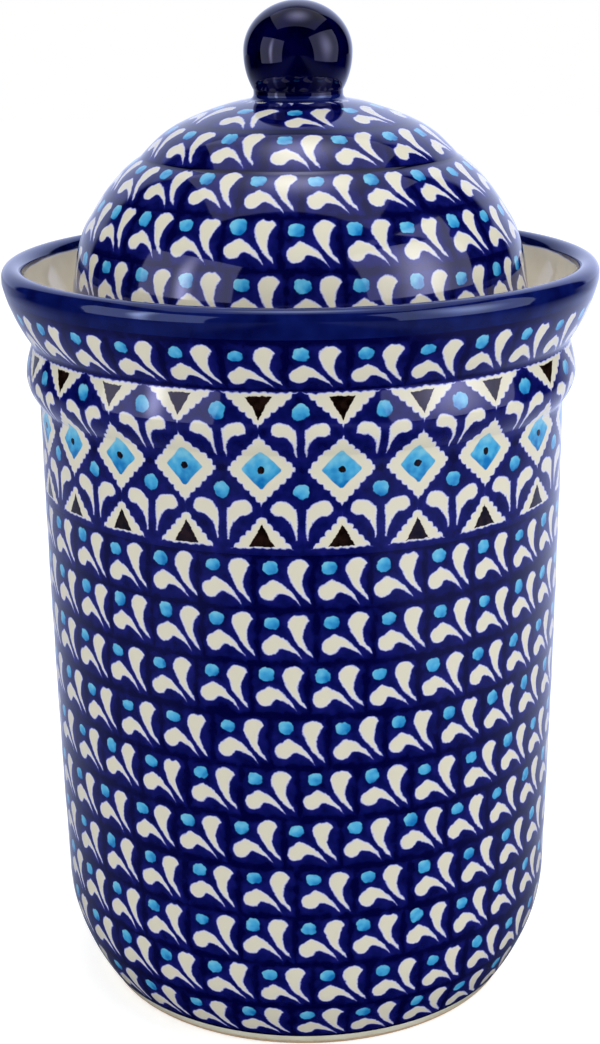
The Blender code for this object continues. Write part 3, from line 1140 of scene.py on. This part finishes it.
@dataclass(frozen=True)
class Lid:
    """The lid: a tiered dome on a short skirt, with a collar that drops into the throat."""

    jar: Jar
    seat_gap: float = 0.3
    seat_width: float = 5.1
    skirt_height: float = 8.7
    skirt_round: float = 1.2
    rise: float = 58.3
    wall: float = 5.5
    collar_clearance: float = 1.0
    collar_depth: float = 12.0
    collar_wall: float = 4.8
    collar_round: float = 1.5
    neck_radius: float = 12.6
    neck_fillet: float = 1.5
    # The tiers from the bottom: where each ends, as shares of the dome's reach and rise, and its two handles.
    tiers: Sequence[tuple[Point, Sequence[Point]]] = (
        ((0.118, 0.455), ((0.0, 0.40), (0.36, 0.82))),
        ((0.400, 0.734), ((0.25, 0.37), (0.57, 0.78))),
        ((0.630, 0.895), ((0.27, 0.40), (0.62, 0.80))),
        ((1.0, 1.0), ((0.32, 0.48), (0.72, 0.87))),
    )
    bare_seat: float = 2.0  # height over the seat that it is wiped clean to
    glaze_foot: float = 3.0  # and where the glaze starts
    neck_gap: float = 0.6  # how far below the neck's fillet the rows end
    low_row: float = 221.3  # height of the lowest dots
    # Each row from the bottom: how many stamps, degrees from the front to a dot, the row's lean and how far
    # it lies above its even place.
    rows: Sequence[tuple[int, float, float, float]] = (
        (26, 0.2, 1.2, 0.1),
        (24, -0.9, 1.1, 0.0),
        (20, 5.2, 0.6, -0.3),
        (15, -6.7, 0.1, -0.7),
        (9, -1.6, 0.0, -0.5),
        (7, 10.0, 0.0, 0.0),
    )
    segments: int = 288
    spacing: float = 1.3

    @property
    def seat_level(self) -> float:
        """Height of the lid's seat over the ledge."""
        return self.jar.ledge_level + self.seat_gap

    @property
    def radius(self) -> float:
        """Radius of the skirt."""
        return self.jar.throat_radius + self.seat_width

    @property
    def crown_level(self) -> float:
        """Height of the crown under the knob's neck."""
        return self.seat_level + self.skirt_height + self.rise + self.neck_fillet

    def dome(self) -> np.ndarray:
        """Draws the tiered outside of the dome.

        Returns:
            Its points from the skirt up to the fillet round the neck.
        """
        skirt = np.array((self.radius, self.seat_level + self.skirt_height))
        reach = np.array((self.neck_radius + self.neck_fillet - self.radius, self.rise))
        ends = [skirt, *(skirt + np.array(crease) * reach for crease, _ in self.tiers)]
        tiers = zip(ends, ends[1:], (handles for _, handles in self.tiers))
        return joined(*(curve(start, end, handles, self.spacing) for start, end, handles in tiers))

    def underneath(self) -> np.ndarray:
        """Draws the inside of the dome and of the collar.

        Returns:
            Its points from the axis down to the collar's lower edge.
        """
        level = self.seat_level + self.skirt_height
        inner = self.radius - self.wall
        bore = self.jar.throat_radius - self.collar_clearance - self.collar_wall
        bend, foot = self.collar_round, self.seat_level - self.collar_depth
        dome = arc((0, level), inner, self.rise - self.wall, 90, 0, 3)
        dome[0] = (0, level + self.rise - self.wall)
        sweep = curve((bore, self.seat_level - bend), (inner, level), ((0.0, 0.45), (0.80, 0.60)), 2)[::-1]
        turn = arc((bore + bend, foot + bend), bend, bend, 180, 270, 0.5)
        return joined(dome, sweep, line(sweep[-1], turn[0], 2), turn)

    def seat(self) -> np.ndarray:
        """Draws the outside of the collar, the seat and the edge of the skirt.

        Returns:
            Their points from the collar's lower edge up.
        """
        radius = self.jar.throat_radius - self.collar_clearance
        bend, foot = self.collar_round, self.seat_level - self.collar_depth
        edge = self.skirt_round
        end = arc((radius - bend, foot + bend), bend, bend, -90, 0, 0.5)
        skirt = arc((self.radius - edge, self.seat_level + edge), edge, edge, -90, 0, 0.4)
        return joined(end, line(end[-1], (radius, self.seat_level), 2), skirt)

    def turning(self) -> Turning:
        """Works out the lid's outline and its belts.

        Returns:
            The turned surface.
        """
        inside, seat, dome = self.underneath(), self.seat(), self.dome()
        fillet = self.neck_fillet
        neck = arc((self.neck_radius + fillet, self.crown_level), fillet, fillet, 270, 180, 0.3)
        outside = joined(line(seat[-1], dome[0], 2), dome, neck)
        collar = length_along(inside)[-1]
        up = collar + math.dist(inside[-1], seat[0]) + length_along(seat)[-1] + length_along(outside)
        outline = joined(inside, seat, outside, line(neck[-1], (0, self.crown_level), 4))

        def at(height: float) -> float:
            """Gives the distance along the outline of a height on the outside."""
            return float(np.interp(height, outside[:, 1], up))

        low_dots = at(self.low_row)
        belts = [
            Belt(collar - 3, Finish.CLEAR, -FAR),
            Belt(at(self.seat_level + self.bare_seat), Finish.BARE),
            Belt(low_dots + ROW_TOP - ROW_STEP, Finish.CLEAR, at(self.seat_level + self.glaze_foot)),
        ]
        neck_foot = at(self.crown_level - fillet) - self.neck_gap
        for number, (count, turn, lean, lift) in enumerate(self.rows):
            dot = low_dots + ROW_STEP * number
            end = min(dot + ROW_TOP, neck_foot)
            belts.append(Belt(end, Finish.STAMPED, dot + lift, count, turn, lean=lean))
        belts.append(Belt(length_along(outline)[-1] + 1, Finish.COBALT, FAR))
        ripple = Ripple(0.14, self.seat_level + 12, self.crown_level - 3, 5.0)
        return Turning("lid_dome", outline, belts, self.segments, (up[0], up[-1]), ripple)


@dataclass(frozen=True)
class Knob:
    """The ball knob, thrown by itself and luted on, whose glaze closes the joint round its neck."""

    lid: Lid
    radius: float = 15.3
    crown: float = 14.0
    belly: float = 18.2
    neck_height: float = 0.8
    luting_gap: float = 0.3
    lap: float = 0.45  # how far its glaze laps down over the joint
    segments: int = 160

    def turning(self) -> Turning:
        """Works out the knob's outline, which is one belt.

        Returns:
            The turned surface.
        """
        neck = self.lid.neck_radius
        turn = math.acos(neck / self.radius)
        foot = self.lid.crown_level + self.luting_gap
        low = foot - self.luting_gap - self.lap
        centre = (0, foot + self.neck_height + self.belly * math.sin(turn))
        belly = arc(centre, self.radius, self.belly, -math.degrees(turn), 0, 0.5)
        crown = arc(centre, self.radius, self.crown, 0, 90, 0.5)
        crown[-1] = (0, centre[1] + self.crown)
        outline = joined(line((0, low), (neck, low), 3), line((neck, low), belly[0], 0.4), belly, crown)
        return Turning("ball_knob", outline, [Belt(FAR, Finish.DIPPED, FAR)], self.segments)


# The studio


@dataclass(frozen=True)
class Softbox:
    """A rectangular lamp that faces the pot, brightest where the bulb stands behind its cloth.

    Attributes:
        name: Its name.
        azimuth: Degrees from the front, to the right.
        elevation: Degrees above the pot's middle.
        distance: Metres from the pot's middle.
        size: Width and height in metres.
        cloth: Brightness of its cloth, where white is one.
        bulb: How much brighter it is in its middle.
        spread: Half the width and height of the bulb's glow, as shares of the box.
    """

    name: str
    azimuth: float
    elevation: float
    distance: float
    size: Point
    cloth: float
    bulb: float
    spread: Point

    def place(self, aim: Vector) -> None:
        """Makes the lamp and turns it to the aim.

        Args:
            aim: The point that it faces, in metres.
        """
        lamp = bpy.data.lights.new(self.name, "AREA")
        lamp.shape = "RECTANGLE"
        lamp.size, lamp.size_y = self.size
        lamp.energy = math.pi * self.size[0] * self.size[1]
        add = Nodes(lamp).add
        off = add("VectorMath.SUBTRACT", (add("NewGeometry", output="Parametric"), (0.5, 0.5, 0.0)))
        off = add("VectorMath.DIVIDE", (off, (*self.spread, 1.0)))
        reach = add("VectorMath.LENGTH", (off,))
        core = add("Math.POWER", (add("MapRange.SMOOTHSTEP", (reach, 1.0, 0.0, 0.0, 1.0)), 2.0))
        strength = add("Math.MULTIPLY_ADD", (core, self.bulb, self.cloth))
        add("OutputLight", {"Surface": add("Emission", {"Strength": strength})})
        turn, lift = math.radians(self.azimuth), math.radians(self.elevation)
        way = Vector((math.sin(turn) * math.cos(lift), -math.cos(turn) * math.cos(lift), math.sin(lift)))
        holder = placed(self.name, lamp)
        holder.location = aim + way * self.distance
        holder.rotation_euler = (-way).to_track_quat("-Z", "Y").to_euler()
        holder.visible_camera = False


@dataclass(frozen=True)
class Studio:
    """A white sweep, softboxes left, right and overhead, and the camera where the photographer stood."""

    camera_place: Triple = (0.0, -0.5432, 0.3042)
    tilt: float = 16.92  # degrees that the camera looks down
    swing: float = -0.088  # and to the right
    roll: float = 0.62  # and leans to the right
    focal_pixels: float = 1892.2
    sensor: float = 36.0
    fill: float = 0.65  # light from all round on dull surfaces
    sweep_shine: Point = (0.70, 0.96)  # how bright the sweep looks in the glaze, at its left and right
    floor_shine: Point = (0.79, 1.40)  # and the paper behind the pot
    mirrored: str = "d0daff"  # the colour of the sweep in the glaze
    paper: float = 0.80  # how much light the paper gives back
    paper_lift: float = 0.50  # and what brings it to white to the eye
    floor_size: float = 6.0
    aim: Triple = (0.0, 0.0, 0.17)
    boxes: Sequence[Softbox] = (
        Softbox("left_softbox", -59, 11, 1.03, (1.0, 0.90), 1.22, 5.4, (0.15, 0.95)),
        Softbox("right_softbox", 63, 18, 1.06, (1.25, 1.12), 1.12, 3.6, (0.40, 0.80)),
        Softbox("overhead_softbox", 174, 88, 1.05, (1.4, 1.0), 0.65, 3.2, (0.36, 0.50)),
    )

    def set_camera(self) -> None:
        """Makes the camera and gives it to the scene."""
        data = bpy.data.cameras.new("studio_camera")
        data.sensor_width = self.sensor
        data.lens = self.sensor * self.focal_pixels / IMAGE_HEIGHT
        data.clip_start, data.clip_end = 0.05, 50.0
        tilt, swing, roll = (math.radians(angle) for angle in (self.tilt, self.swing, self.roll))
        level = math.cos(tilt)
        forward = Vector((math.sin(swing) * level, math.cos(swing) * level, -math.sin(tilt)))
        right = forward.cross(Vector((0, 0, 1))).normalized()
        up = right.cross(forward)
        across = right * math.cos(roll) - up * math.sin(roll)
        over = right * math.sin(roll) + up * math.cos(roll)
        camera = placed("studio_camera", data)
        turned = Matrix((across, over, -forward)).transposed().to_4x4()
        camera.matrix_world = Matrix.Translation(self.camera_place) @ turned
        bpy.context.scene.camera = camera

    def set_world(self) -> None:
        """Makes the surroundings: fill on dull surfaces, white to the eye, and the sweep in the glaze."""
        world = bpy.data.worlds.new("studio")
        nodes = Nodes(world)
        add = nodes.add
        rays = add("LightPath").node.outputs
        way = add("TexCoord", output="Generated")
        level = add("VectorMath.NORMALIZE", (add("VectorMath.MULTIPLY", (way, (1.0, 1.0, 0.0))),))
        aside, back, _ = add("SeparateXYZ", (level,)).node.outputs
        height = add("SeparateXYZ", (way,), output=2)
        shine = [
            add("MapRange", (aside, -0.4, 0.4, *self.sweep_shine)),
            add("MapRange", (back, 0.72, 1.0, 1.0, 1.75)),
            add("MapRange.SMOOTHSTEP", (back, 0.68, 0.74, 0.0, 1.0)),
            add("MapRange.SMOOTHSTEP", (height, 0.90, 0.70, 0.0, 1.0)),
        ]
        lit = add("Mix", (rays["Is Glossy Ray"], self.fill, nodes.fold("Math.MULTIPLY", shine)))
        seen = add("Math.MAXIMUM", (rays["Is Camera Ray"], rays["Is Transmission Ray"]))
        tone = add("Mix.RGBA", (rays["Is Glossy Ray"], linear("ffffff"), linear(self.mirrored)))
        sky = add("Background", {"Color": tone, "Strength": add("Mix", (seen, lit, 1.0))})
        add("OutputWorld", {"Surface": sky})
        bpy.context.scene.world = world

    def floor_material(self) -> Material:
        """Makes the paper: white to the eye but for the pot's shadow, darker in the glaze towards the front.

        Returns:
            The material.
        """
        material = bpy.data.materials.new("white_paper_sweep")
        add = Nodes(material).add
        rays = add("LightPath").node.outputs
        place = add("TexCoord", output="Object")
        across = add("SeparateXYZ", (place,))
        aside = add("Math.ABSOLUTE", (across,))
        back = add("SeparateXYZ", (add("VectorMath.NORMALIZE", (place,)),), output=1)
        back = add("Math.MULTIPLY_ADD", (back, 0.5, 0.5))
        wings = add("MapRange.SMOOTHSTEP", (aside, 0.16, 0.32, 0.0, 0.2))
        glow = add("Math.MAXIMUM", (add("Math.POWER", (back, 2.1)), wings))
        glow = add("Math.MULTIPLY", (glow, add("MapRange", (across, -0.3, 0.3, *self.floor_shine))))
        behind = add("MapRange", (back, 0.76, 0.93, 0.0, 1.0))
        near = add("Math.MAXIMUM", (add("MapRange", (aside, 1.0, 0.5, 0.0, 1.0)), behind))
        glow = add("Math.MULTIPLY", (glow, near))
        paper = add("BsdfDiffuse", {"Color": (self.paper, self.paper, self.paper, 1.0)})
        lift = add("Emission", {"Strength": add("Math.MULTIPLY", (rays["Is Camera Ray"], self.paper_lift))})
        mirrored = add("Emission", {"Color": linear(self.mirrored), "Strength": glow})
        surface = add("MixShader", (rays["Is Glossy Ray"], add("AddShader", (paper, lift)), mirrored))
        add("OutputMaterial", {"Surface": surface})
        return material

    def lay_floor(self) -> None:
        """Makes the floor, one flat square."""
        half = self.floor_size / 2
        mesh = bpy.data.meshes.new("paper_floor")
        corners = [(-half, -half, 0), (half, -half, 0), (half, half, 0), (-half, half, 0)]
        mesh.from_pydata(corners, [], [(0, 1, 2, 3)])
        mesh.materials.append(self.floor_material())
        placed("paper_floor", mesh)

    def build(self) -> None:
        """Sets up the camera, the surroundings, the floor and the lamps."""
        self.set_camera()
        self.set_world()
        self.lay_floor()
        for box in self.boxes:
            box.place(Vector(self.aim))
        bpy.context.scene.view_settings.view_transform = "Standard"


def main() -> None:
    """Builds the pot's pieces in order, dresses them and sets up the studio."""
    logging.basicConfig(level=logging.INFO, format="%(name)s: %(message)s")
    brushed = CobaltGlaze(sheen="b4c8ff", pigments=Pigments(clay="f5eedc", edge="e4e5ea"))
    darkest = {"thick": "00000a", "even": "01012e"}
    dipped = CobaltGlaze(name="dipped_cobalt_stoneware", roughness=0.04, ior=1.52, **darkest)
    foot = ClearGlaze(name="thinly_glazed_foot", warm="dcdcc8", pale="e6e5d6")
    finishes = [StampedGlaze(), DiamondGlaze(), brushed, ClearGlaze(), BareStoneware(), dipped, foot]
    materials = [finish.build() for finish in finishes]
    jar = Jar()
    lid = Lid(jar)
    knob = Knob(lid)
    for part, body, node in ((jar, "jar", "jar"), (lid, "lid", "lid"), (knob, "lid", "knob")):
        piece = part.turning().build(materials)
        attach(piece, body)
        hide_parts(node)
        log.info("%s has %d faces", piece.name, len(piece.data.polygons))
    Studio().build()


if __name__ == "__main__":
    main()
